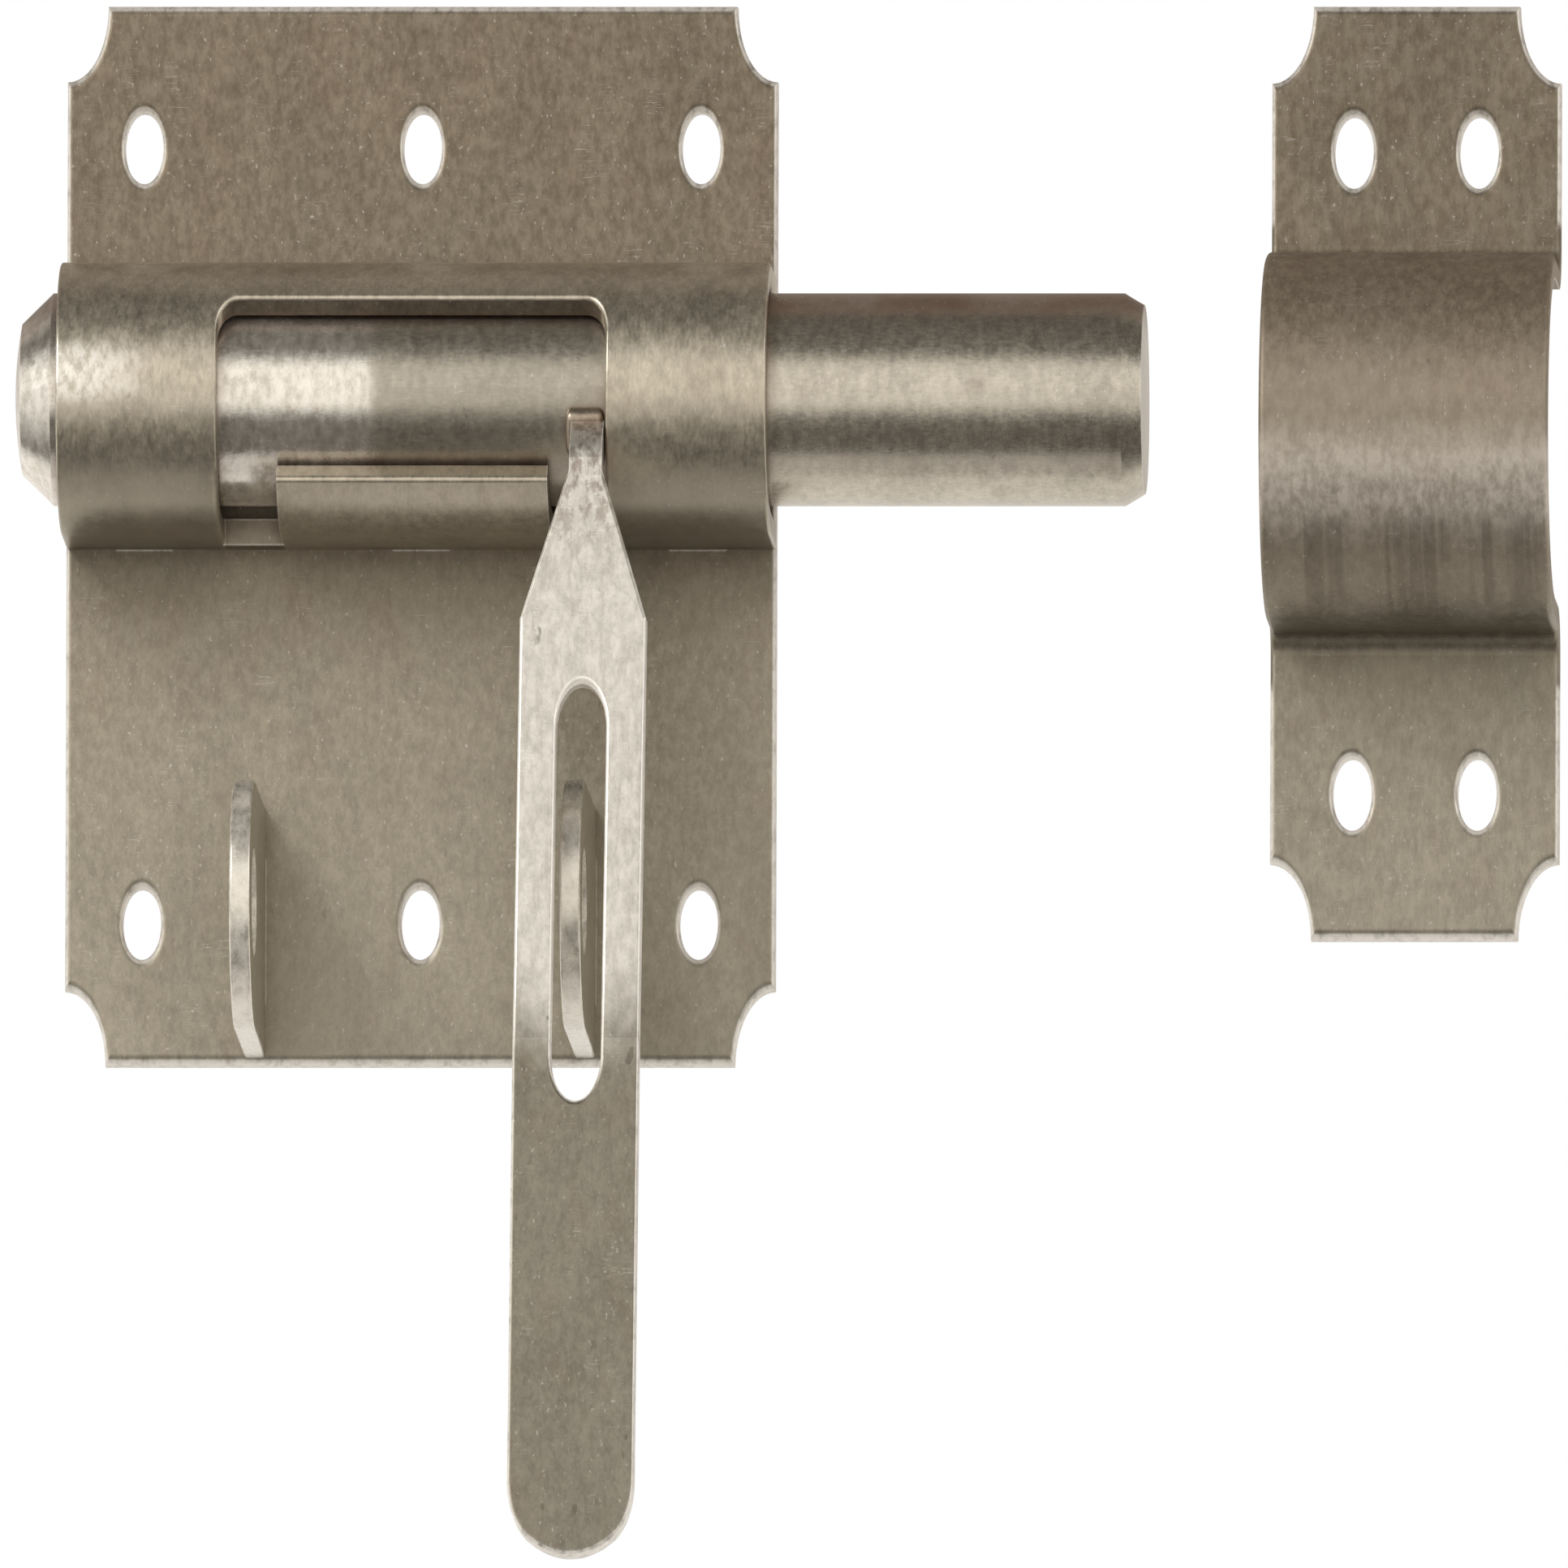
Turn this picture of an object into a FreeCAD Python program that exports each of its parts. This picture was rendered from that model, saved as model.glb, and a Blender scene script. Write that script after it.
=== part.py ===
import FreeCAD, Part
import os
from math import cos, radians, sin, sqrt, tan

# Lockable barrel bolt for a stair gate, with its loose keeper. Millimetres.
# X runs along the bolt towards the keeper, -Y stands out from the gate, Z is up.
# The origin is the centre of the six screw holes, on the back face of the base plate.

# Base plate
PLATE_LENGTH = 100.0
PLATE_HEIGHT = 80.0
SHEET = 2.0
CORNER_BITE_R = 5.7
SCREW_HOLE_R = 2.7
SCREW_SPAN_X = 78.4
SCREW_SPAN_Z = 58.6
PLATE_ROUND = 0.8
EDGE_ROUND = 0.45
CUT_ROUND = 0.4

# Bolt
BOLT_R = 8.0
BOLT_TAIL_X = -56.4
BOLT_NOSE_X = 102.6
NOSE_BEVEL_LENGTH = 2.8
NOSE_BEVEL_DEPTH = 0.9
TAIL_BEVEL_LENGTH = 4.4
TAIL_BEVEL_DEPTH = 2.3
TAIL_DOME = 1.0
AXIS_OUT = 10.3
AXIS_UP = 9.2

# Strap that guides the bolt: angles are measured at the bolt axis from straight out, downwards
STRAP_INNER_R = 8.3
STRAP_OUTER_R = STRAP_INNER_R + SHEET
WINDOW_TOP_ANGLE = -41.0
GUARD_TOP_ANGLE = 42.0
NOTCH_X = 23.25
NOTCH_WIDTH = 8.35
NOTCH_TOP_ANGLE = 32.0
WINDOW_CORNER_R = 3.0
BRIDGE_HEIGHT = 2.6
TENON_LENGTH = 8.0
TENON_X = 39.0

# Padlock lugs
LUG_THICKNESS = 3.0
LUG_LENGTH = 19.0
LUG_Z = -30.0
LUG_REACH = 27.5
LUG_HOLE_R = 4.0
LUG_RIM = 3.0
LUG_TENON_LENGTH = 11.0

# Handle, stored lifted clear of the lugs: it slopes out from the bolt, then bends back a little.
# With the bolt thrown, its neck stands at the right-hand side of the right-hand notch.
HANDLE_X = 24.85
HANDLE_WIDTH = 17.8
HANDLE_THICKNESS = 3.0
HANDLE_LEAN = 16.0
HANDLE_LOWER_LEAN = 11.0
HANDLE_OFFSET = 8.3
NECK_WIDTH = 4.6
NECK_ANGLE = 28.0
NECK_SINK = 1.0
KNEE_ROUND = 3.4
NECK_END_Z = 2.6
SHOULDER_Z = -9.2
HANDLE_BEND_Z = -42.4
HANDLE_TIP_Z = -82.1
TIP_CORNER_R = 5.0
TIP_END_R = 14.0
SLOT_WIDTH = 7.1
SLOT_TOP_Z = -14.3
SLOT_BOTTOM_Z = -46.9
SADDLE_GAP = 0.05
WELD_R = 0.85
WELD_SEAT = 0.1
WELD_TOP_ANGLE = 17.0
WELD_LOW_ANGLE = 32.0

# Keeper
KEEPER_X = 119.6
KEEPER_WIDTH = 40.7
KEEPER_TOP_Z = 40.0
KEEPER_BOTTOM_Z = -30.5
KEEPER_AXIS_Z = 6.4
KEEPER_AXIS_OUT = 9.0
KEEPER_INNER_R = 12.0
KEEPER_BEND_R = 1.5
KEEPER_BITE_R = 5.8
KEEPER_HOLE_R = 2.75
KEEPER_SPAN_X = 17.6
KEEPER_SPAN_Z = 48.5
KEEPER_SCREW_Z = 4.75

# The window reaches to the far side of each notch, and each padlock lug stands below a notch.
WINDOW_HALF = NOTCH_X + NOTCH_WIDTH / 2

# Cutters reach this far through the part, and run this far past a surface that they meet.
CUTTER_REACH = 80.0
OVERRUN = 1.0

# Lengths closer than this are the same.
SAME = 1e-4

V = FreeCAD.Vector
OUT = V(0, -1, 0)
ALONG = V(1, 0, 0)


def box(x0, x1, y0, y1, z0, z1):
    """Box between two corners."""
    return Part.makeBox(x1 - x0, y1 - y0, z1 - z0, V(x0, y0, z0))


def at_axis(out, down, x=0.0):
    """Point given by how far out from, and below, the bolt's axis it lies."""
    return V(x, -AXIS_OUT - out, AXIS_UP - down)


def polar(radius, angle, x=0.0):
    """Point at a radius from the bolt's axis and an angle below straight out."""
    return at_axis(radius * cos(radians(angle)), radius * sin(radians(angle)), x)


def prism(edges, direction):
    """Solid swept in a straight line from a closed outline."""
    return Part.Face(Part.Wire(edges)).extrude(direction)


def polyline(points):
    """Closed list of straight edges through points."""
    return [Part.makeLine(a, b) for a, b in zip(points, points[1:] + points[:1])]


def through_rod(radius, x, z, depth=4 * SHEET):
    """Cutter for a round hole through a sheet on the mounting face."""
    return Part.makeCylinder(radius, depth, V(x, depth / 4, z), OUT)


def rounded(shape, wanted, radius):
    """Shape with a radius on the edges that a test picks out."""
    return shape.makeFillet(radius, [e for e in shape.Edges if wanted(e)])


def on_front(edge, depth):
    """Whether an edge lies in the plane at a depth in front of the mounting face."""
    return edge.BoundBox.YLength < SAME and abs(edge.BoundBox.YMin + depth) < SAME


def bitten_sheet(x0, x1, z0, z1, bite):
    """Flat rectangle of sheet on the mounting face with a round bite out of each corner."""
    sheet = box(x0, x1, -SHEET, 0, z0, z1)
    for x in (x0, x1):
        for z in (z0, z1):
            sheet = sheet.cut(through_rod(bite, x, z))
    return sheet


def strap_tenons():
    """Where the strap's tenons pass through the plate: x and z centres and x length."""
    leg = STRAP_INNER_R + SHEET / 2
    return [(x, AXIS_UP + side * leg) for side in (-1, 1) for x in (-TENON_X, 0, TENON_X)]


def base_plate():
    """Flat plate with six screw holes, and slits for the tenons of the strap and the lugs."""
    half_x, half_z = PLATE_LENGTH / 2, PLATE_HEIGHT / 2
    plate = bitten_sheet(-half_x, half_x, -half_z, half_z, CORNER_BITE_R)
    for x in (-SCREW_SPAN_X / 2, 0, SCREW_SPAN_X / 2):
        for z in (-SCREW_SPAN_Z / 2, SCREW_SPAN_Z / 2):
            plate = plate.cut(through_rod(SCREW_HOLE_R, x, z))
    plate = rounded(plate, lambda e: on_front(e, SHEET), PLATE_ROUND)
    for x, z in strap_tenons():
        half = TENON_LENGTH / 2
        plate = plate.cut(box(x - half, x + half, -2 * SHEET, SHEET, z - SHEET / 2, z + SHEET / 2))
    for x in (-NOTCH_X, NOTCH_X):
        half = LUG_TENON_LENGTH / 2
        side = LUG_THICKNESS / 2
        plate = plate.cut(box(x - side, x + side, -2 * SHEET, SHEET, LUG_Z - half, LUG_Z + half))
    return plate


def arch(radius, x0, x1):
    """Solid half-round bar over the bolt's axis with straight legs down to the plate."""
    start, top, end = at_axis(0, radius, x0), at_axis(radius, 0, x0), at_axis(0, -radius, x0)
    foot = AXIS_OUT - SHEET
    feet = [at_axis(-foot, -radius, x0), at_axis(-foot, radius, x0)]
    edges = [
        Part.Arc(start, top, end).toShape(),
        Part.makeLine(end, feet[0]),
        Part.makeLine(feet[0], feet[1]),
        Part.makeLine(feet[1], start),
    ]
    return prism(edges, ALONG * (x1 - x0))


def wedge(angle0, angle1, x0, x1):
    """Slice of pie about the bolt's axis, wide enough to cut the strap."""
    far = 3 * STRAP_OUTER_R
    middle = (angle0 + angle1) / 2
    corners = [at_axis(0, 0, x0), polar(far, angle0, x0), polar(far, middle, x0), polar(far, angle1, x0)]
    return prism(polyline(corners), ALONG * (x1 - x0))


def bolt_strap():
    """Sheet bent over the bolt, with a window for the handle's neck, two notches and a guard between."""
    half = PLATE_LENGTH / 2
    strap = arch(STRAP_OUTER_R, -half, half).cut(arch(STRAP_INNER_R, -half - OVERRUN, half + OVERRUN))
    strap = strap.cut(wedge(WINDOW_TOP_ANGLE, GUARD_TOP_ANGLE, -WINDOW_HALF, WINDOW_HALF))
    low = AXIS_UP - STRAP_OUTER_R - OVERRUN
    for x in (-NOTCH_X, NOTCH_X):
        x0, x1 = x - NOTCH_WIDTH / 2, x + NOTCH_WIDTH / 2
        strap = strap.cut(wedge(NOTCH_TOP_ANGLE, 90, x0, x1))
        strap = strap.cut(box(x0, x1, -AXIS_OUT, -SHEET - BRIDGE_HEIGHT, low, AXIS_UP))

    def window_corner(edge):
        ends = [v.Point for v in edge.Vertexes]
        want = {r: polar(r, WINDOW_TOP_ANGLE).z for r in (STRAP_INNER_R, STRAP_OUTER_R)}
        on_side = all(abs(abs(p.x) - WINDOW_HALF) < SAME for p in ends)
        return on_side and sorted(round(p.z, 3) for p in ends) == sorted(round(z, 3) for z in want.values())

    def lip(edge):
        middle, length = edge.CenterOfMass, edge.BoundBox.XLength
        on_end = length < SAME and abs(abs(middle.x) - half) < SAME
        return middle.y < -AXIS_OUT - OVERRUN and (on_end or length > 2 * NOTCH_WIDTH)

    strap = rounded(strap, window_corner, WINDOW_CORNER_R)
    strap = rounded(strap, lip, CUT_ROUND)
    for x, z in strap_tenons():
        tenon = box(x - TENON_LENGTH / 2, x + TENON_LENGTH / 2, -SHEET, 0, z - SHEET / 2, z + SHEET / 2)
        strap = strap.fuse(tenon)
    return strap.removeSplitter()


def padlock_lug(x):
    """Tongue standing on edge from the plate, with a padlock hole near its round end."""
    half, side = LUG_LENGTH / 2, LUG_THICKNESS / 2
    x0 = x - side
    shoulder = -(LUG_REACH - half)
    corners = [V(x0, -SHEET, LUG_Z - half), V(x0, shoulder, LUG_Z - half)]
    corners += [V(x0, shoulder, LUG_Z + half), V(x0, -SHEET, LUG_Z + half)]
    edges = [
        Part.makeLine(corners[0], corners[1]),
        Part.Arc(corners[1], V(x0, -LUG_REACH, LUG_Z), corners[2]).toShape(),
        Part.makeLine(corners[2], corners[3]),
        Part.makeLine(corners[3], corners[0]),
    ]
    lug = prism(edges, ALONG * LUG_THICKNESS)
    tenon = LUG_TENON_LENGTH / 2
    lug = lug.fuse(box(x - side, x + side, -SHEET, 0, LUG_Z - tenon, LUG_Z + tenon)).removeSplitter()
    hole_out = LUG_REACH - LUG_RIM - LUG_HOLE_R
    hole_start = V(x - LUG_THICKNESS, -hole_out, LUG_Z)
    lug = lug.cut(Part.makeCylinder(LUG_HOLE_R, 2 * LUG_THICKNESS, hole_start, ALONG))

    def rim(edge):
        flat = edge.BoundBox.XLength < SAME
        return flat and edge.BoundBox.YMin < shoulder - SAME and len(edge.Vertexes) == 2

    return rounded(lug, rim, EDGE_ROUND)


def bolt_rod():
    """Round bar with a bevelled nose and a bevelled, slightly domed tail."""
    flat_r = BOLT_R - TAIL_BEVEL_DEPTH
    tail_face = BOLT_TAIL_X + TAIL_DOME
    points = [
        at_axis(flat_r, 0, tail_face),
        at_axis(BOLT_R, 0, tail_face + TAIL_BEVEL_LENGTH),
        at_axis(BOLT_R, 0, BOLT_NOSE_X - NOSE_BEVEL_LENGTH),
        at_axis(BOLT_R - NOSE_BEVEL_DEPTH, 0, BOLT_NOSE_X),
        at_axis(0, 0, BOLT_NOSE_X),
        at_axis(0, 0, BOLT_TAIL_X),
    ]
    dome_r = (flat_r**2 + TAIL_DOME**2) / (2 * TAIL_DOME)
    half_r = flat_r / 2
    half_x = BOLT_TAIL_X + dome_r - sqrt(dome_r**2 - half_r**2)
    edges = [Part.makeLine(a, b) for a, b in zip(points, points[1:])]
    edges.append(Part.Arc(points[5], at_axis(half_r, 0, half_x), points[0]).toShape())
    return Part.Face(Part.Wire(edges)).revolve(at_axis(0, 0), ALONG, 360)


def lean_vectors(lean):
    """Unit directions along a leaning strip and square to it, as (out, down) pairs."""
    return (sin(radians(lean)), cos(radians(lean))), (cos(radians(lean)), -sin(radians(lean)))


def handle_centre_line():
    """Corners of the handle's middle line from the bolt to the tip, as (out, down) pairs."""
    run, square = lean_vectors(HANDLE_LEAN)

    def at_down(down):
        slide = (down - HANDLE_OFFSET * square[1]) / run[1]
        return (HANDLE_OFFSET * square[0] + slide * run[0], down)

    slope = tan(radians(NECK_ANGLE))
    slide = HANDLE_OFFSET * (slope * square[0] - square[1]) / (run[1] - slope * run[0])
    knee = (HANDLE_OFFSET * square[0] + slide * run[0], HANDLE_OFFSET * square[1] + slide * run[1])
    sunk = BOLT_R - NECK_SINK
    root = (sunk * cos(radians(NECK_ANGLE)), sunk * sin(radians(NECK_ANGLE)))
    bend = at_down(AXIS_UP - HANDLE_BEND_Z)
    drop = HANDLE_BEND_Z - HANDLE_TIP_Z + 2 * HANDLE_THICKNESS
    tip = (bend[0] + drop * tan(radians(HANDLE_LOWER_LEAN)), bend[1] + drop)
    return [root, knee, bend, tip]


def strip_blank():
    """Full-width strip that follows the handle's middle line, with its bends rounded."""
    line = handle_centre_line()
    half = HANDLE_THICKNESS / 2
    sides = {1: [], -1: []}
    squares = []
    for (o0, d0), (o1, d1) in zip(line, line[1:]):
        length = sqrt((o1 - o0) ** 2 + (d1 - d0) ** 2)
        squares.append(((d1 - d0) / length, -(o1 - o0) / length))
    for i, (out, down) in enumerate(line):
        a, b = squares[max(i - 1, 0)], squares[min(i, len(squares) - 1)]
        scale = half / (1 + a[0] * b[0] + a[1] * b[1])
        mitre = ((a[0] + b[0]) * scale, (a[1] + b[1]) * scale)
        for side, points in sides.items():
            points.append(at_axis(out + side * mitre[0], down + side * mitre[1], HANDLE_X - HANDLE_WIDTH / 2))
    blank = prism(polyline(sides[1] + sides[-1][::-1]), ALONG * HANDLE_WIDTH)
    knee_down = line[1][1]

    def at_knee(edge):
        down = AXIS_UP - edge.CenterOfMass.z
        return edge.BoundBox.XLength > HANDLE_WIDTH - SAME and abs(down - knee_down) < HANDLE_THICKNESS

    knee_edges = sorted((e for e in blank.Edges if at_knee(e)), key=lambda e: e.CenterOfMass.y)
    return blank.makeFillet(KNEE_ROUND, knee_edges[:1])


def handle_outline():
    """Front view of the handle: narrow neck, tapered shoulders, straight sides and a rounded tip."""
    wide, neck = HANDLE_WIDTH / 2, NECK_WIDTH / 2
    top = AXIS_UP + STRAP_OUTER_R
    corner_x = wide - TIP_CORNER_R
    rise = sqrt((TIP_END_R - TIP_CORNER_R) ** 2 - corner_x**2)
    corner_z = HANDLE_TIP_Z + TIP_END_R - rise
    reach = TIP_END_R / (TIP_END_R - TIP_CORNER_R)
    meet_x, meet_z = corner_x * reach, HANDLE_TIP_Z + TIP_END_R - rise * reach
    inset = TIP_CORNER_R * sin(radians(45))

    def at(side, x, z):
        return V(HANDLE_X + side * x, 0, z)

    edges = [Part.Arc(at(-1, meet_x, meet_z), at(0, 0, HANDLE_TIP_Z), at(1, meet_x, meet_z)).toShape()]
    edges.append(Part.makeLine(at(-1, neck, top), at(1, neck, top)))
    for side in (-1, 1):
        points = [at(side, neck, top), at(side, neck, NECK_END_Z), at(side, wide, SHOULDER_Z)]
        points.append(at(side, wide, corner_z))
        edges += [Part.makeLine(a, b) for a, b in zip(points, points[1:])]
        turn = at(side, corner_x + inset, corner_z - inset)
        edges.append(Part.Arc(points[-1], turn, at(side, meet_x, meet_z)).toShape())
    return prism(Part.__sortEdges__(edges), OUT * CUTTER_REACH)


def bolt_clearance():
    """Cutter that keeps the handle and its weld just clear of the bolt."""
    start = at_axis(0, 0, HANDLE_X - CUTTER_REACH / 2)
    return Part.makeCylinder(BOLT_R + SADDLE_GAP, CUTTER_REACH, start, ALONG)


def handle_lever():
    """Flat strip handle with a slot that drops over a padlock lug. Its root is cut to the bolt."""
    lever = strip_blank().common(handle_outline()).cut(bolt_clearance())
    half = SLOT_WIDTH / 2
    top, bottom = SLOT_TOP_Z - half, SLOT_BOTTOM_Z + half
    slot = box(HANDLE_X - half, HANDLE_X + half, -CUTTER_REACH, 0, bottom, top)
    for z in (top, bottom):
        slot = slot.fuse(Part.makeCylinder(half, CUTTER_REACH, V(HANDLE_X, 0, z), OUT))
    lever = lever.cut(slot)

    def rim(edge):
        return edge.BoundBox.ZLength > SAME and edge.CenterOfMass.z < NECK_END_Z

    return rounded(lever, rim, EDGE_ROUND)


def neck_weld():
    """Weld bead on the bolt, along the left side and over the top of the handle's neck."""
    left = HANDLE_X - NECK_WIDTH / 2
    right = HANDLE_X + NECK_WIDTH / 2 - WELD_R
    seat = BOLT_R + WELD_SEAT
    ring = Part.makeTorus(seat, WELD_R, at_axis(0, 0, left), ALONG)
    side = ring.common(wedge(WELD_TOP_ANGLE, WELD_LOW_ANGLE, left - 2 * WELD_R, left + 2 * WELD_R))
    start, end = polar(seat, WELD_TOP_ANGLE, left), polar(seat, WELD_TOP_ANGLE, right)
    over = Part.makeCylinder(WELD_R, right - left, start, ALONG)
    ends = [Part.makeSphere(WELD_R, point) for point in (start, end, polar(seat, WELD_LOW_ANGLE, left))]
    weld = side.multiFuse([over] + ends)
    return weld.cut(bolt_clearance()).cut(handle_lever())


def keeper_strap():
    """Loose strap with two feet and a hump that takes the bolt's nose."""
    inner, outer, bend = KEEPER_INNER_R, KEEPER_INNER_R + SHEET, KEEPER_BEND_R
    x, axis = KEEPER_X, KEEPER_AXIS_OUT

    def at(out, up):
        return V(x, -out, KEEPER_AXIS_Z + up)

    def arc(radius, centre_up, sign):
        centre = (SHEET + bend, centre_up)
        r = radius * cos(radians(45))
        return at(centre[0] - r, centre[1] - sign * r)

    high, low = KEEPER_TOP_Z - KEEPER_AXIS_Z, KEEPER_BOTTOM_Z - KEEPER_AXIS_Z
    turn = outer + bend
    front = [
        Part.makeLine(at(SHEET, high), at(SHEET, turn)),
        Part.Arc(at(SHEET, turn), arc(bend, turn, 1), at(SHEET + bend, outer)).toShape(),
        Part.makeLine(at(SHEET + bend, outer), at(axis, outer)),
        Part.Arc(at(axis, outer), at(axis + outer, 0), at(axis, -outer)).toShape(),
        Part.makeLine(at(axis, -outer), at(SHEET + bend, -outer)),
        Part.Arc(at(SHEET + bend, -outer), arc(bend, -turn, -1), at(SHEET, -turn)).toShape(),
        Part.makeLine(at(SHEET, -turn), at(SHEET, low)),
        Part.makeLine(at(SHEET, low), at(0, low)),
    ]
    wide = bend + SHEET
    back = [
        Part.makeLine(at(0, low), at(0, -turn)),
        Part.Arc(at(0, -turn), arc(wide, -turn, -1), at(SHEET + bend, -inner)).toShape(),
        Part.makeLine(at(SHEET + bend, -inner), at(axis, -inner)),
        Part.Arc(at(axis, -inner), at(axis + inner, 0), at(axis, inner)).toShape(),
        Part.makeLine(at(axis, inner), at(SHEET + bend, inner)),
        Part.Arc(at(SHEET + bend, inner), arc(wide, turn, 1), at(0, turn)).toShape(),
        Part.makeLine(at(0, turn), at(0, high)),
        Part.makeLine(at(0, high), at(SHEET, high)),
    ]
    keeper = prism(front + back, ALONG * KEEPER_WIDTH)
    for cx in (KEEPER_X, KEEPER_X + KEEPER_WIDTH):
        for cz in (KEEPER_BOTTOM_Z, KEEPER_TOP_Z):
            keeper = keeper.cut(through_rod(KEEPER_BITE_R, cx, cz))
    middle = KEEPER_X + KEEPER_WIDTH / 2
    for cx in (middle - KEEPER_SPAN_X / 2, middle + KEEPER_SPAN_X / 2):
        for cz in (KEEPER_SCREW_Z - KEEPER_SPAN_Z / 2, KEEPER_SCREW_Z + KEEPER_SPAN_Z / 2):
            keeper = keeper.cut(through_rod(KEEPER_HOLE_R, cx, cz))

    def rim(edge):
        tangent_line = edge.BoundBox.ZLength < SAME and edge.BoundBox.XLength > KEEPER_WIDTH - SAME
        return on_front(edge, SHEET) and not tangent_line

    return rounded(keeper, rim, PLATE_ROUND)


os.makedirs("parts", exist_ok=True)
pieces = {
    "base_plate": base_plate(),
    "bolt_strap": bolt_strap(),
    "padlock_lug_left": padlock_lug(-NOTCH_X),
    "padlock_lug_right": padlock_lug(NOTCH_X),
    "bolt_rod": bolt_rod(),
    "handle_lever": handle_lever(),
    "neck_weld": neck_weld(),
    "keeper_strap": keeper_strap(),
}
for name, shape in pieces.items():
    shape.exportStep(f"parts/{name}.step")
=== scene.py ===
from math import cos, radians, sin, sqrt

import bpy
from mathutils import Matrix, Vector


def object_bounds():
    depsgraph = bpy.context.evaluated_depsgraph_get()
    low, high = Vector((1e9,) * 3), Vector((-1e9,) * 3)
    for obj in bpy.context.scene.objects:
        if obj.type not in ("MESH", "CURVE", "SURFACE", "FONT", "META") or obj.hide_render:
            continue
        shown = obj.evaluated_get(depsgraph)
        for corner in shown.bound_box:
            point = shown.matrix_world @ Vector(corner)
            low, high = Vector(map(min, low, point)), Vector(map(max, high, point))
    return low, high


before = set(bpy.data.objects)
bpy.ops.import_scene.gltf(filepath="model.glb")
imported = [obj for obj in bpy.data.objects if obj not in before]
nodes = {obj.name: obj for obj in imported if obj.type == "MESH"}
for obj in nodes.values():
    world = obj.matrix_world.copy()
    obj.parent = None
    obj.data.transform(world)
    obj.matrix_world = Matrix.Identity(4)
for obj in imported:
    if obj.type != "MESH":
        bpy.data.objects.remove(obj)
cad_low, cad_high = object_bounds()
MM = 0.001

# The photograph shows the latch squeezed sideways, which is the same as stretched upwards by this much.
# Its upright edges also lean a little.
UPRIGHT_STRETCH = 1.864
UPRIGHT_LEAN = 0.006
PHOTO_WIDTH = 220.8 * MM
CAMERA_AZIMUTH = 5.0
CAMERA_ELEVATION = -7.0
CAMERA_DISTANCE = 0.60
CAMERA_CENTRE = (51.2 * MM, -2.0 * MM, -18.8 * MM)

FLOOR_Z = -0.17
FLOOR_SIZE = 4.0
LIGHT_TARGET = (0.02, 0.0, -0.01)

# Colours of the wear and the dirt, and of the painted light and shade
GRIME_AND_SHADE = (0.115, 0.095, 0.072)
BROWN = (0.235, 0.155, 0.110)
DULL = (0.27, 0.245, 0.20)
STRAW = (0.86, 0.765, 0.64)
BRIGHT = (0.92, 0.89, 0.84)
UPPER_HIGHLIGHT_TONE = (0.97, 0.94, 0.88)
GRAIN = (0.60, 0.56, 0.49)
POLISHED = (0.92, 0.885, 0.83)
SHEET_TOP_SHADE = (0.54, 0.48, 0.43)

# How metallic the steel is away from its edges, which are worn and carry a painted highlight
METALLIC = 0.88

# Noise scales, in features per metre
CLOUDS = 75
DENTS = 130
PATCHES = 160
WARMTH = 210
SPOTS = 430
MOTTLE = 760
SPECKLE = 2100
BRUSHED = 2600
SCRATCHES = 95
SCRATCH_PATCHES = 240
HANDLE_GRAIN = 1100
HEAT_SCALE = 620
PRESS_MARKS_AND_SHADE = 620

# How far the surface layers reach, and how deep they are
CORNER_REACH = 3.2 * MM
EDGE_REACH = 0.35 * MM
DENT_DEPTH = 0.30 * MM
FINE_DEPTH = 0.05 * MM

# Where the pieces are bent or cut
HANDLE_BEND_Z = -42.4 * MM
HANDLE_SLOPE = radians(13.5)
HANDLE_NECK = (-5 * MM, 12 * MM)
NOTCH_X = 23.25 * MM
WINDOW_HALF = 27.4 * MM
KEEPER_HUMP = (-12 * MM, 24 * MM)


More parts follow.
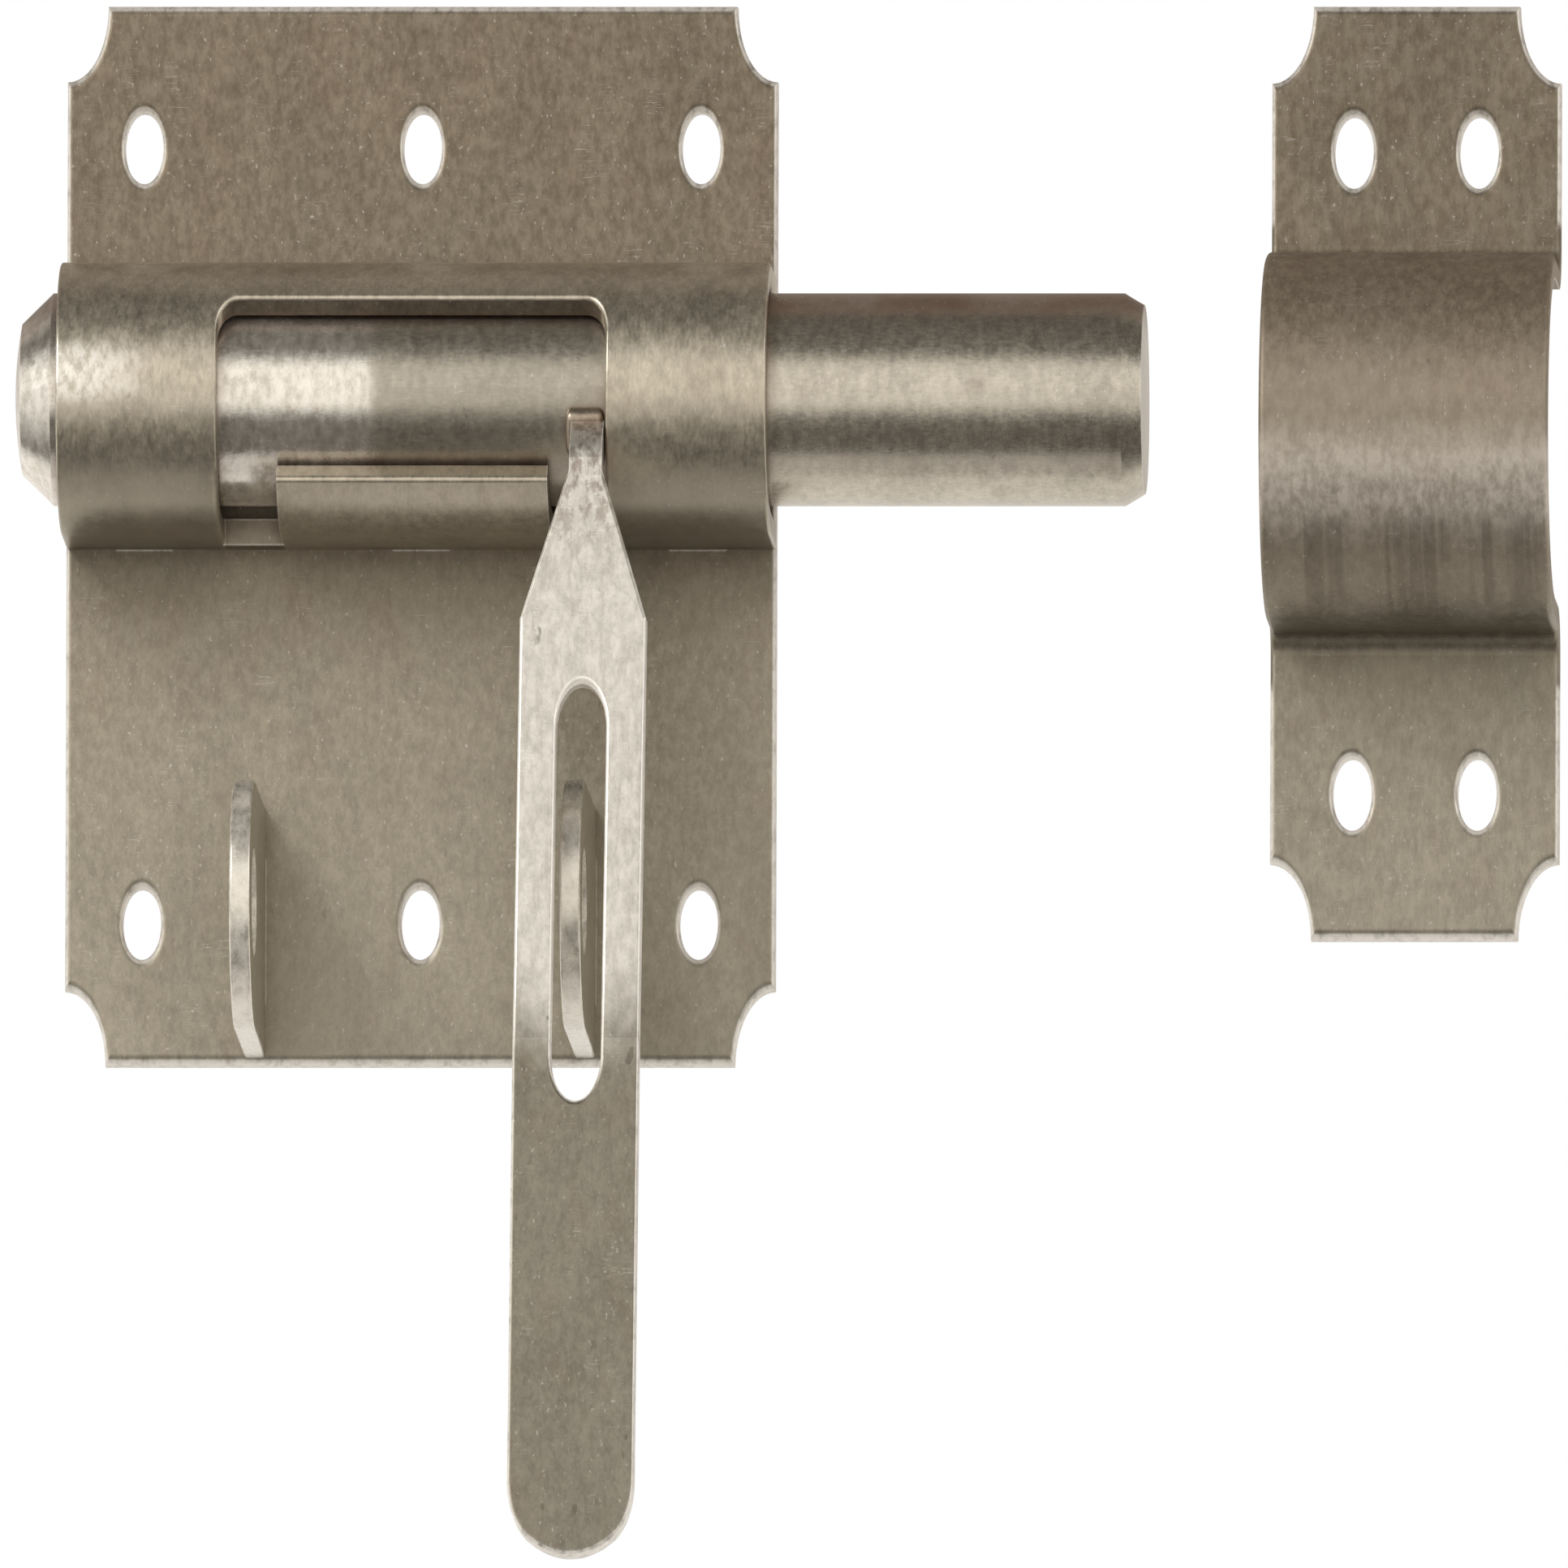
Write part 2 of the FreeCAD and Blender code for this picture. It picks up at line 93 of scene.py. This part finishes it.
class Nodes:
    """Short calls for building a node tree."""

    def __init__(self, tree):
        self.tree = tree
        tree.nodes.clear()

    def add(self, kind, inputs=None, **settings):
        node = self.tree.nodes.new(kind)
        for key, value in settings.items():
            setattr(node, key, value)
        for key, value in (inputs or {}).items():
            self.feed(node.inputs[key], value)
        return node

    def feed(self, socket, value):
        if isinstance(value, bpy.types.NodeSocket):
            self.tree.links.new(value, socket)
        elif isinstance(value, tuple) and len(value) == 3 and socket.type == "RGBA":
            socket.default_value = (*value, 1)
        else:
            socket.default_value = value

    def noise(self, where, scale, detail=3.0, rough=0.55, distortion=0.0):
        inputs = {
            "Vector": where, "Scale": scale, "Detail": detail, "Roughness": rough, "Distortion": distortion,
        }
        return self.add("ShaderNodeTexNoise", inputs).outputs["Fac"]

    def stretched(self, where, scale, turn=(0, 0, 0), shift=(0, 0, 0)):
        inputs = {"Vector": where, "Scale": scale, "Rotation": turn, "Location": shift}
        return self.add("ShaderNodeMapping", inputs).outputs["Vector"]

    def ramp(self, value, low, high, out_low=0.0, out_high=1.0):
        inputs = {"Value": value, "From Min": low, "From Max": high, "To Min": out_low, "To Max": out_high}
        return self.add("ShaderNodeMapRange", inputs, interpolation_type="SMOOTHSTEP").outputs["Result"]

    def fade(self, value, low, high):
        return self.ramp(value, low, high, 1.0, 0.0)

    def band(self, value, rise, fall):
        """1 between two slopes, each given by where it starts and ends."""
        return self.times(self.ramp(value, *rise), self.fade(value, *fall))

    def math(self, how, a, b=0.0, clamp=False):
        return self.add("ShaderNodeMath", {0: a, 1: b}, operation=how, use_clamp=clamp).outputs[0]

    def times(self, a, b):
        return self.math("MULTIPLY", a, b)

    def plus(self, a, b):
        return self.math("ADD", a, b)

    def minus(self, a, b):
        return self.math("SUBTRACT", a, b)

    def absolute(self, a):
        return self.math("ABSOLUTE", a)

    def larger(self, a, b):
        return self.math("MAXIMUM", a, b)

    def dot(self, a, b):
        inputs = {0: a, 1: b}
        return self.add("ShaderNodeVectorMath", inputs, operation="DOT_PRODUCT").outputs["Value"]

    def blend(self, share, a, b, how="MIX"):
        inputs = {0: share, 6: a, 7: b}
        return self.add("ShaderNodeMix", inputs, data_type="RGBA", blend_type=how).outputs[2]

    def parts(self, vector):
        return self.add("ShaderNodeSeparateXYZ", {0: vector}).outputs


class Surface:
    """The coordinates and noise fields that the layers of one steel share.

    where is moved by the seed, so that no two steels have the same pattern.
    """

    def __init__(self, n, seed, grain):
        coordinates = n.add("ShaderNodeTexCoord").outputs
        self.n = n
        self.place = coordinates["Object"]
        self.facing = coordinates["Normal"]
        self.where = n.stretched(self.place, (1, 1, 1), shift=(seed * 0.37, seed * 0.19, seed * 0.53))
        self.clouds = n.noise(self.where, CLOUDS, 4.0, 0.6, 0.4)
        self.mottle = n.noise(self.where, MOTTLE, 4.0, 0.70)
        self.brushed = n.noise(n.stretched(self.where, grain), BRUSHED, 3.0, 0.6)

    def ragged(self, value, noise, spread):
        """A position, shifted to and fro by a noise so that what it bounds has an uneven edge."""
        return self.n.plus(value, self.n.times(self.n.minus(noise, 0.5), spread))


def steel(name, seed, tone, rough, grain=(1, 1, 1), brown=0.3, pits=0.0, edge_light=0.5, bump=1.0,
          mark=None, square=None, bent=(0.0, 0.0)):
    """Bare steel: cloudy tone, fine grain, scratches, pits, brown grime and painted shade in the corners,
    and edges bright with wear and a painted highlight.

    mark may change the colour and the roughness for wear and for painted light and shade that belong to one
    piece.
    square is the direction that a flat piece faces, which lets its whole rounded rim be painted bright,
    partly as wear and partly as a painted highlight, and bent gives the heights where it is not flat.
    """
    material = bpy.data.materials.new(name)
    material.use_nodes = True
    n = Nodes(material.node_tree)
    surface = Surface(n, seed, grain)

    colour = cloudy_colour(surface, tone)
    roughness = uneven_roughness(surface, rough)
    if mark:
        colour, roughness = mark(surface, colour, roughness)

    scratches = crossed_scratches(surface)
    colour = n.blend(n.times(scratches, 0.16), colour, BRIGHT)
    glints = n.ramp(n.noise(surface.where, SPECKLE, 2.0, 0.5), 0.66, 0.74)
    colour = n.blend(n.times(glints, 0.25), colour, BRIGHT)
    spots = n.ramp(n.noise(surface.where, SPOTS, 2.0, 0.5), 0.70, 0.76)
    colour = n.blend(n.times(spots, 0.20 + pits), colour, GRIME_AND_SHADE)

    # Brown in the hollows: partly grime where parts meet, partly painted shade in the corners.
    hollow = hollows(n)
    patchy = n.ramp(n.noise(surface.where, PATCHES, 3.0, 0.6), 0.35, 0.65, 0.35, 1.0)
    colour = n.blend(n.times(n.times(hollow, patchy), 0.4 + brown), colour, BROWN)

    edge = worn_and_highlit_edges(surface, square, bent)
    # Edges painted bright: partly worn bare steel, partly a painted highlight.
    colour = n.blend(n.times(edge, edge_light), colour, BRIGHT)
    metallic = n.minus(METALLIC, n.times(edge, 0.6 * edge_light))
    roughness = n.minus(roughness, n.times(edge, 0.08))
    roughness = n.math("ADD", roughness, n.times(hollow, 0.12), clamp=True)

    relief = fine_relief(surface, scratches, spots, pits)
    shader = n.add("ShaderNodeBsdfPrincipled", {
        "Base Color": colour,
        "Metallic": metallic,
        "Roughness": roughness,
        "Normal": bumps(surface, relief, bump),
    })
    n.add("ShaderNodeOutputMaterial", {"Surface": shader.outputs[0]})
    return material


def cloudy_colour(surface, tone):
    """The steel's tone, darker and lighter in clouds, mottles and grain, with warmer patches."""
    n = surface.n
    shares = ((surface.clouds, 0.28), (surface.mottle, 0.46), (surface.brushed, 0.26))
    clouds, mottle, brushed = (n.times(n.ramp(noise, 0.3, 0.7), share) for noise, share in shares)
    shade = n.plus(n.plus(clouds, mottle), brushed)
    dark = tuple(0.70 * c for c in tone)
    light = tuple(1.28 * c for c in tone)
    warm = n.ramp(n.noise(surface.where, WARMTH, 4.0, 0.65), 0.45, 0.75)
    return n.blend(n.times(warm, 0.15), n.blend(shade, dark, light), BROWN)


def uneven_roughness(surface, rough):
    """The steel's roughness, a little uneven in mottles and grain."""
    n = surface.n
    mottled = n.ramp(surface.mottle, 0.25, 0.75, rough - 0.03, rough + 0.05)
    return n.plus(mottled, n.times(n.minus(surface.brushed, 0.5), 0.18))


def scratch_lines(surface, turn, shift):
    """Thin, broken scratches running across one direction."""
    n = surface.n
    lines = n.noise(n.stretched(surface.where, (1, 26, 26), turn, shift), SCRATCHES, 2.0, 0.45)
    fine = n.fade(n.absolute(n.minus(lines, 0.5)), 0.004, 0.010)
    patches = n.noise(n.stretched(surface.where, (1, 1, 1), turn, shift), SCRATCH_PATCHES, 2.0)
    return n.times(fine, n.ramp(patches, 0.58, 0.68))


def crossed_scratches(surface):
    """Scratches in two directions."""
    first = scratch_lines(surface, (0.3, 1.1, 0.7), (0.1, 0, 0))
    return surface.n.larger(first, scratch_lines(surface, (1.2, 0.35, 0.9), (0, 0.2, 0)))


def hollows(n):
    """1 in corners that face other metal close by, 0 in the open."""
    corners = n.add("ShaderNodeAmbientOcclusion", {"Distance": CORNER_REACH}, samples=6, only_local=False)
    return n.fade(corners.outputs["AO"], 0.35, 0.95)


def worn_and_highlit_edges(surface, square, bent):
    """1 on sharp edges and on the rounded rim of flat sheet, broken up by the mottles; these are painted
    bright, partly as wear and partly as a painted highlight.
    """
    n = surface.n
    soft = n.add("ShaderNodeBevel", {"Radius": EDGE_REACH}, samples=4).outputs[0]
    face = n.add("ShaderNodeNewGeometry").outputs["True Normal"]
    edge = n.fade(n.dot(soft, face), 0.86, 0.985)
    if square:
        edge = n.larger(edge, sheet_rim(surface, square, bent))
    return n.times(edge, n.ramp(surface.mottle, 0.25, 0.6, 0.45, 1.0))


def sheet_rim(surface, square, bent):
    """Where a flat piece turns away from square at its edges, leaving out the heights where it is bent."""
    n = surface.n
    rim = n.fade(n.absolute(n.dot(surface.facing, square)), 0.78, 0.97)
    low, high = bent
    inside = n.band(n.parts(surface.place)["Z"], (low, low + MM), (high - MM, high))
    return n.times(rim, n.minus(1.0, inside))


def fine_relief(surface, scratches, spots, pits):
    """Height of the grain and the mottles, with scratches and pits cut in."""
    n = surface.n
    relief = n.plus(n.times(surface.brushed, 0.45), n.times(surface.mottle, 0.8))
    relief = n.minus(relief, n.times(scratches, 0.15))
    return n.minus(relief, n.times(spots, 0.5 + pits))


def bumps(surface, relief, bump):
    """Normal of the surface with broad shallow dents under the fine relief."""
    n = surface.n
    dents = n.noise(surface.where, DENTS, 2.0, 0.5)
    broad = n.add("ShaderNodeBump", {"Strength": 0.12 * bump, "Distance": DENT_DEPTH, "Height": dents})
    inputs = {"Strength": 0.32 * bump, "Distance": FINE_DEPTH, "Height": relief, "Normal": broad.outputs[0]}
    return n.add("ShaderNodeBump", inputs).outputs[0]


def sheet_top_shade(surface, colour, roughness):
    """Flat sheet is painted a little darker and browner towards its top, as painted shade."""
    n = surface.n
    height = surface.ragged(n.parts(surface.place)["Z"], surface.clouds, 30 * MM)
    # Painted shade: the sheet grows darker and browner upwards.
    dull = n.ramp(height, -40 * MM, 34 * MM)
    patchy = n.ramp(surface.mottle, 0.3, 0.7, 1.0, 0.75)
    return n.blend(n.times(dull, patchy), colour, SHEET_TOP_SHADE, "MULTIPLY"), roughness


def strap_painted_light(surface, colour, roughness):
    """The strap's left end carries a painted highlight, its lower flank is painted duller as painted shade,
    and its openings are painted dark as painted shade.
    """
    n = surface.n
    spots = n.parts(surface.place)
    off_middle = n.absolute(spots["X"])

    # Painted shade: the lower flank beside the window is painted duller.
    flank = n.ramp(off_middle, WINDOW_HALF, WINDOW_HALF + MM)
    flank = n.times(flank, n.fade(spots["Z"], 1.0 * MM, 5.5 * MM))
    colour = n.blend(n.times(flank, 0.55), colour, DULL)

    # Painted highlight: the left end is painted bright at the height of the highlight.
    front = n.band(spots["Z"], (7 * MM, 9 * MM), (11 * MM, 13.5 * MM))
    left_end_highlight = n.times(n.fade(spots["X"], -47 * MM, -34 * MM), front)
    colour = n.blend(n.times(left_end_highlight, n.ramp(surface.mottle, 0.35, 0.65, 0.2, 0.9)), colour, BRIGHT)

    # Painted shade: the down-facing lip over the window and the insides of the notches are painted dark.
    faces_down = n.fade(n.parts(surface.facing)["Z"], -0.55, -0.40)
    in_window = n.fade(off_middle, WINDOW_HALF - 0.4 * MM, WINDOW_HALF + 0.2 * MM)
    lip = n.times(faces_down, n.times(in_window, n.ramp(spots["Z"], 10 * MM, 11 * MM)))
    in_notch = n.fade(n.absolute(n.minus(off_middle, NOTCH_X)), 3.9 * MM, 4.3 * MM)
    notch = n.times(in_notch, n.fade(spots["Z"], 1.0 * MM, 2.0 * MM))
    opening_shade = n.larger(n.times(lip, 0.95), n.times(notch, 0.60))
    opening_shade = n.times(opening_shade, n.ramp(surface.mottle, 0.3, 0.7, 0.75, 1.0))
    return n.blend(opening_shade, colour, GRIME_AND_SHADE), n.plus(roughness, n.times(opening_shade, 0.2))


def handle_wear_and_highlight(surface, colour, roughness):
    """The handle is painted bright from its neck to its bend as a painted highlight, with streaks of grain,
    and browned by the weld.
    """
    n = surface.n
    height = n.parts(surface.place)["Z"]
    ragged = surface.ragged(height, surface.clouds, 14 * MM)
    # Painted highlight: the upper part, above the bend, is painted bright.
    upper_highlight = n.ramp(ragged, HANDLE_BEND_Z - 3 * MM, HANDLE_BEND_Z + 7 * MM)
    patchy = n.ramp(surface.mottle, 0.25, 0.75, 0.72, 1.0)
    colour = n.blend(n.times(upper_highlight, patchy), colour, UPPER_HIGHLIGHT_TONE)
    grain = n.ramp(n.noise(n.stretched(surface.place, (1, 1, 0.07)), HANDLE_GRAIN, 3.0, 0.6), 0.48, 0.68)
    colour = n.blend(n.times(n.times(upper_highlight, grain), 0.38), colour, GRAIN)
    scale = n.ramp(n.noise(surface.place, HEAT_SCALE, 4.0, 0.7), 0.44, 0.60)
    heat = n.times(n.ramp(height, -7 * MM, 2 * MM), scale)
    colour = n.blend(n.times(heat, 0.55), colour, BROWN)
    return colour, n.minus(roughness, n.times(upper_highlight, 0.04))


def bolt_wear(surface, colour, roughness):
    """The bolt is polished where it has run in the strap, dull to the right of that, and stained on top."""
    n = surface.n
    spots = n.parts(surface.place)
    ragged = surface.ragged(spots["X"], surface.mottle, 5 * MM)
    polished = n.fade(ragged, -6.6 * MM, -4.4 * MM)
    patchy = n.ramp(surface.mottle, 0.3, 0.7, 0.35, 1.0)
    colour = n.blend(n.times(polished, patchy), colour, POLISHED)
    dull = n.times(n.ramp(ragged, -6.6 * MM, -4.4 * MM), n.fade(spots["X"], 30 * MM, 46 * MM))
    colour = n.blend(n.times(dull, 0.40), colour, DULL)
    stained = n.times(n.ramp(spots["Z"], 13.6 * MM, 16.2 * MM), n.ramp(surface.clouds, 0.3, 0.65, 0.5, 1.0))
    colour = n.blend(stained, colour, BROWN)
    roughness = n.minus(roughness, n.times(polished, 0.07))
    return colour, n.plus(roughness, n.times(dull, 0.05))


def keeper_wear_and_light(surface, colour, roughness):
    """The keeper's hump carries a painted highlight below its middle, and its lower flank a streaked darker
    band of press marks and painted shade.
    """
    n = surface.n
    height = n.parts(surface.place)["Z"]
    # Painted highlight: a bright band just below the hump's middle.
    middle = n.band(height, (-3.5 * MM, 0.5 * MM), (2.5 * MM, 7 * MM))
    patchy = n.ramp(surface.mottle, 0.3, 0.7, 0.6, 1.0)
    colour = n.blend(n.times(n.times(middle, patchy), 0.95), colour, BRIGHT)
    hump = n.band(height, (-8 * MM, -5 * MM), (19 * MM, 22 * MM))
    colour = n.blend(n.times(hump, n.ramp(height, 3 * MM, 12 * MM, 0.16, 0.36)), colour, STRAW)
    roughness = n.plus(roughness, n.times(hump, 0.12))
    # Streaked darker band on the lower flank: partly press marks, partly painted shade.
    flank = n.band(height, (-7.5 * MM, -6.0 * MM), (-2.0 * MM, 0.0))
    upright = n.stretched(surface.place, (1, 0.04, 0.04))
    streaks = n.ramp(n.noise(upright, PRESS_MARKS_AND_SHADE, 2.0, 0.5), 0.42, 0.62)
    colour = n.blend(n.times(n.times(flank, streaks), 0.30), colour, GRIME_AND_SHADE)
    # The keeper also gets the flat sheet's painted shade towards its top.
    return sheet_top_shade(surface, colour, roughness)


def wear(node, material):
    """Gives a CAD node its material."""
    mesh = nodes[node].data
    mesh.materials.clear()
    mesh.materials.append(material)


def dress_latch():
    """Steel for the plate, the strap and the two lugs."""
    plate = steel("plate_steel", 1, (0.375, 0.341, 0.275), 0.50, brown=-0.3, edge_light=0.85,
                  mark=sheet_top_shade, square=(0, 1, 0))
    strap = steel("strap_steel", 2, (0.55, 0.50, 0.41), 0.36, (1, 1, 0.5), brown=0.5, bump=0.7,
                  mark=strap_painted_light)
    lug = steel("lug_steel", 3, (0.54, 0.50, 0.42), 0.32, edge_light=0.6, square=(1, 0, 0))
    wear("base_plate", plate)
    wear("bolt_strap", strap)
    for side in ("left", "right"):
        wear(f"padlock_lug_{side}", lug)


def dress_bolt_and_handle():
    """Steel for the bolt, the handle and the weld between them."""
    bolt = steel("bolt_steel", 4, (0.55, 0.512, 0.44), 0.25, (0.35, 1.5, 1.5), bump=0.7, mark=bolt_wear)
    sloped = (0, -cos(HANDLE_SLOPE), sin(HANDLE_SLOPE))
    handle = steel("handle_steel", 5, (0.262, 0.240, 0.194), 0.44, pits=0.3, edge_light=0.95,
                   mark=handle_wear_and_highlight, square=sloped, bent=HANDLE_NECK)
    weld = steel("weld_steel", 6, (0.42, 0.36, 0.29), 0.34, brown=0.4, bump=1.5)
    wear("bolt_rod", bolt)
    wear("handle_lever", handle)
    wear("neck_weld", weld)


def dress_keeper():
    """Steel for the keeper."""
    keeper = steel("keeper_steel", 7, (0.355, 0.325, 0.265), 0.46, (1, 1, 0.5), brown=-0.2, edge_light=0.85,
                   mark=keeper_wear_and_light, square=(0, 1, 0), bent=KEEPER_HUMP)
    wear("keeper_strap", keeper)


def area_light(name, place, size, power, colour=(1, 1, 1)):
    """Soft square light aimed at the latch."""
    data = bpy.data.lights.new(name, "AREA")
    data.shape = "SQUARE"
    data.size = size
    data.energy = power
    data.color = colour
    lamp = bpy.data.objects.new(name, data)
    lamp.location = place
    lamp.rotation_euler = (Vector(LIGHT_TARGET) - Vector(place)).to_track_quat("-Z", "Y").to_euler()
    bpy.context.scene.collection.objects.link(lamp)


def surroundings():
    """Dim room with a wide soft window in front, pale walls at the sides and pale paper below.

    The wall behind is pale below and darkens upwards. The camera itself sees plain white.
    """
    world = bpy.data.worlds.new("studio")
    world.use_nodes = True
    n = Nodes(world.node_tree)
    way = n.parts(n.add("ShaderNodeTexCoord").outputs["Generated"])
    up, back = way["Z"], way["Y"]
    window = n.band(up, (-0.50, -0.14), (0.44, 0.76))
    window = n.times(window, n.fade(back, -0.55, -0.12))
    glow = n.blend(window, (0.085, 0.075, 0.062), (1.08, 1.03, 0.95))
    sides = n.ramp(n.absolute(way["X"]), 0.72, 0.92)
    glow = n.blend(sides, glow, (0.85, 0.82, 0.77))
    glow = n.blend(n.fade(up, -0.95, -0.90), glow, (0.62, 0.58, 0.545))
    wall = n.blend(n.ramp(up, -0.1, 0.4), (1.0, 0.96, 0.90), (0.34, 0.29, 0.25))
    glow = n.blend(n.ramp(back, 0.02, 0.30), glow, wall)

    seen = n.add("ShaderNodeLightPath").outputs["Is Camera Ray"]
    light = n.add("ShaderNodeBackground", {"Color": glow, "Strength": 1.0})
    white = n.add("ShaderNodeBackground", {"Color": (1.0, 1.0, 1.0), "Strength": 1.0})
    both = n.add("ShaderNodeMixShader", {0: seen, 1: light.outputs[0], 2: white.outputs[0]})
    n.add("ShaderNodeOutputWorld", {"Surface": both.outputs[0]})
    bpy.context.scene.world = world


def paper_floor():
    """Plain pale floor, which the steel does not reflect."""
    middle = (cad_low + cad_high) / 2
    bpy.ops.mesh.primitive_plane_add(size=FLOOR_SIZE, location=(middle.x, middle.y, FLOOR_Z))
    floor = bpy.context.object
    floor.name = "floor"
    material = bpy.data.materials.new("floor_paper")
    material.use_nodes = True
    shader = material.node_tree.nodes["Principled BSDF"]
    shader.inputs["Base Color"].default_value = (0.90, 0.89, 0.87, 1)
    shader.inputs["Roughness"].default_value = 0.85
    shader.inputs["Emission Color"].default_value = (1.0, 0.99, 0.97, 1)
    shader.inputs["Emission Strength"].default_value = 0.22
    floor.data.materials.append(material)
    floor.visible_glossy = False


def photo_camera():
    """Flat camera at the photograph's angle.

    The slant between it and its parent stretches the picture upwards, as the photograph is stretched.
    """
    azimuth, elevation = radians(CAMERA_AZIMUTH), radians(CAMERA_ELEVATION)
    right = Vector((1, 0, 0))
    back = Vector((sin(azimuth) * cos(elevation), -cos(azimuth) * cos(elevation), sin(elevation)))
    on_plate = Vector((-UPRIGHT_LEAN, 0, 1)) / UPRIGHT_STRETCH
    lean = on_plate.dot(back)
    upright = on_plate + back * (sqrt(lean**2 + 1 - on_plate.length_squared) - lean)

    data = bpy.data.cameras.new("camera")
    data.type = "ORTHO"
    data.ortho_scale = PHOTO_WIDTH
    data.clip_start = 0.01
    data.clip_end = 10
    camera = bpy.data.objects.new("camera", data)
    stand = bpy.data.objects.new("camera_stand", None)
    for made in (camera, stand):
        bpy.context.scene.collection.objects.link(made)
    slant = Matrix((right, upright, back)).transposed().to_4x4()
    slant.translation = Vector(CAMERA_CENTRE) + back * CAMERA_DISTANCE
    camera.parent = stand
    camera.matrix_parent_inverse = slant
    bpy.context.scene.camera = camera


dress_latch()
dress_bolt_and_handle()
dress_keeper()
paper_floor()
surroundings()
area_light("key_left", (-0.55, -0.60, 0.42), 0.35, 3.0, (1.0, 0.99, 0.96))
area_light("fill_right", (0.80, -0.45, 0.35), 0.4, 0.8)
photo_camera()
bpy.context.scene.view_settings.view_transform = "Standard"
